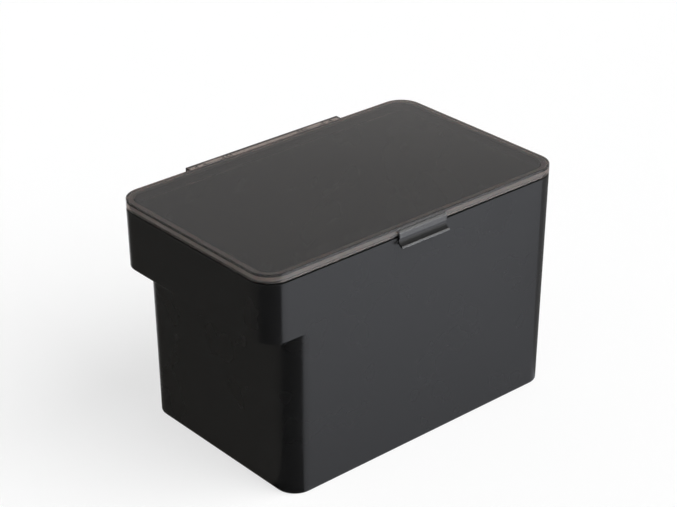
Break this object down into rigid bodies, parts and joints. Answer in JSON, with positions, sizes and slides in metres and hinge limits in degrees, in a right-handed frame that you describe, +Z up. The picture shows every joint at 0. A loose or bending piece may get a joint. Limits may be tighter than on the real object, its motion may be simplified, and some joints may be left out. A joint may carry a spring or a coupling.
{
  "type": "pet food storage container",
  "caption": "Rounded rectangular bin for dry pet food, with an overhanging grip, a hinged clear lid, a flap latch, a sealing ring and a measuring cup inside.",
  "frame": {"origin": "centre of the overall box on the surface that the container stands on", "axes": "+X along the length, away from the overhanging grip; -Y to the front with the latch, +Y to the hinge; +Z up"},
  "size_m": [0.286, 0.1858, 0.1887],
  "materials": {
    "bin_plastic": "satin, near black, moulded",
    "smoke_plastic": "glossy, smoke-tinted, clear",
    "latch_plastic": "glossy, smoke-tinted, clear",
    "silicone": "matt, translucent grey",
    "pin_steel": "drawn wire",
    "clear_plastic": "glossy, clear"
  },
  "bodies": {
    "bin": {"bin_body": "bin_plastic", "hinge_pin_left": "pin_steel", "hinge_pin_right": "pin_steel"},
    "lid": {"lid": "smoke_plastic", "lid_gasket": "silicone"},
    "latch": {"latch": "latch_plastic"},
    "cup": {"measuring_cup": "clear_plastic"}
  },
  "joints": [
    {"name": "lid_hinge", "type": "hinge", "parent": "bin", "child": "lid", "pos_m": [0, 0.0907, 0.1821], "axis": [-1, 0, 0], "range_deg": [0, 105]},
    {"name": "latch_pivot", "type": "hinge", "parent": "lid", "child": "latch", "pos_m": [0, -0.0866, 0.18625], "axis": [-1, 0, 0], "range_deg": [-3, 55]},
    {"name": "cup_lift", "type": "slide", "parent": "bin", "child": "cup", "axis": [0, 0, 1], "range_m": [0, 0.085]}
  ]
}
